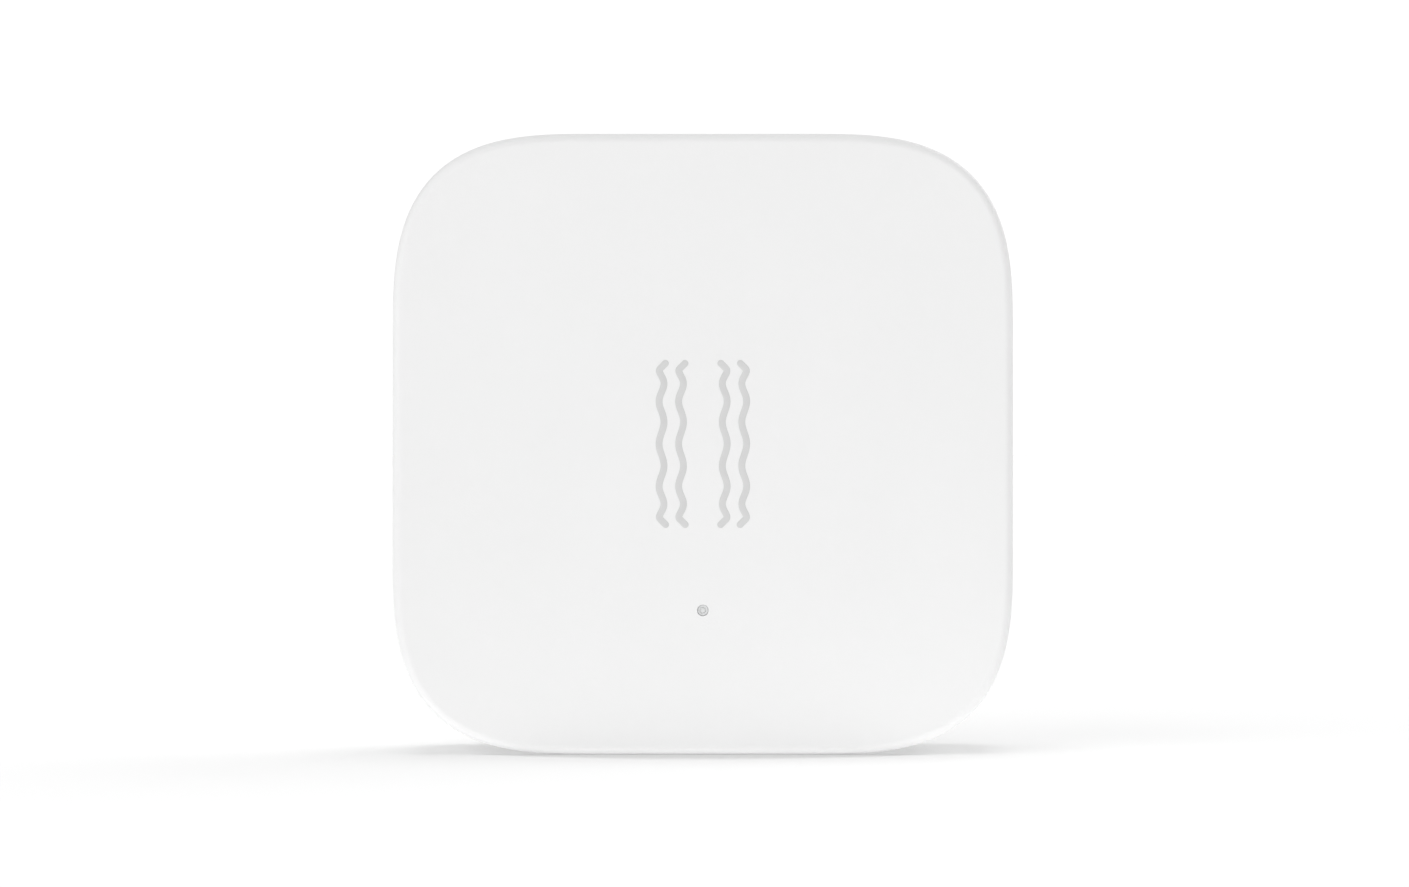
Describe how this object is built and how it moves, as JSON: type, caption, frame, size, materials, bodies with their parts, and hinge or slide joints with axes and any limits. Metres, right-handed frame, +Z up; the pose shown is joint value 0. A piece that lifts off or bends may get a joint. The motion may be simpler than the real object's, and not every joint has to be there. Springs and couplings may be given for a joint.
{
  "type": "vibration sensor",
  "caption": "Small white rounded-square stick-on vibration sensor with a recessed side button, a tiny status light, a coin-cell door and a foam pad on its back.",
  "frame": {"origin": "on the surface it stands on, under the middle of the case", "axes": "+Z up, +Y out of the adhesive back, so the face looks along -Y, and +X to the right of someone looking at the face"},
  "size_m": [0.041, 0.0118, 0.041],
  "materials": {
    "case_plastic": "white moulded plastic with a fine satin texture",
    "button_plastic": "white moulded plastic, satin",
    "back_plastic": "white moulded plastic with a spark-eroded matt texture",
    "inner_plastic": "off-white moulded plastic, plain",
    "clear_plastic": "clear moulded plastic, polished",
    "black_moulding": "black moulded resin, matt",
    "solder_mask": "green solder mask over glass-fibre board",
    "ceramic": "tan ceramic with tinned ends",
    "copper": "printed copper under solder mask",
    "plated_contact": "nickel-plated spring metal",
    "plated_can": "plated metal lid, satin",
    "cell_steel": "drawn stainless steel, brushed",
    "screw_steel": "zinc-plated steel",
    "gasket_rubber": "dark moulded seal",
    "electrode_pack": "dark pressed powder",
    "led_resin": "pale translucent resin",
    "foam_tape": "pale grey acrylic foam with a smooth sticky face"
  },
  "bodies": {
    "housing": {"front_cover": "case_plastic", "light_guide": "clear_plastic", "switch_body": "black_moulding", "switch_cover": "plated_contact", "circuit_board": "solder_mask", "aerial_track": "copper", "radio_chip": "black_moulding", "accelerometer": "black_moulding", "memory_chip": "black_moulding", "radio_crystal": "plated_can", "clock_crystal": "plated_can", "status_led": "led_resin", "reservoir_capacitor": "ceramic", "power_inductor": "black_moulding", "capacitor_1": "ceramic", "capacitor_2": "ceramic", "capacitor_3": "ceramic", "capacitor_4": "ceramic", "capacitor_5": "ceramic", "capacitor_6": "ceramic", "resistor_1": "black_moulding", "resistor_2": "black_moulding", "resistor_3": "black_moulding", "resistor_4": "black_moulding", "negative_contact": "plated_contact", "positive_contact": "plated_contact", "battery_cradle": "inner_plastic", "cell_can": "cell_steel", "cell_gasket": "gasket_rubber", "cell_electrodes": "electrode_pack", "cell_cap": "cell_steel", "board_screw_1": "screw_steel", "board_screw_2": "screw_steel", "back_cover": "back_plastic", "adhesive_pad": "foam_tape"},
    "button": {"reset_button": "button_plastic"},
    "plunger": {"switch_plunger": "inner_plastic"},
    "door": {"battery_door": "back_plastic"}
  },
  "joints": [
    {"name": "button_press", "type": "slide", "parent": "housing", "child": "button", "axis": [0, 0, -1], "range_m": [0, 0.00025], "stiffness_N_per_m": 2500, "springref_m": -0.0002},
    {"name": "plunger_press", "type": "slide", "parent": "housing", "child": "plunger", "axis": [0, 0, -1], "range_m": [0, 0.00025]},
    {"name": "door_turn", "type": "hinge", "parent": "housing", "child": "door", "pos_m": [0, 0.0045, 0.0205], "axis": [0, 1, 0], "range_deg": [0, 35]}
  ],
  "couplings": [
    {"joint": "plunger_press", "follows": "button_press", "ratio": 1}
  ]
}
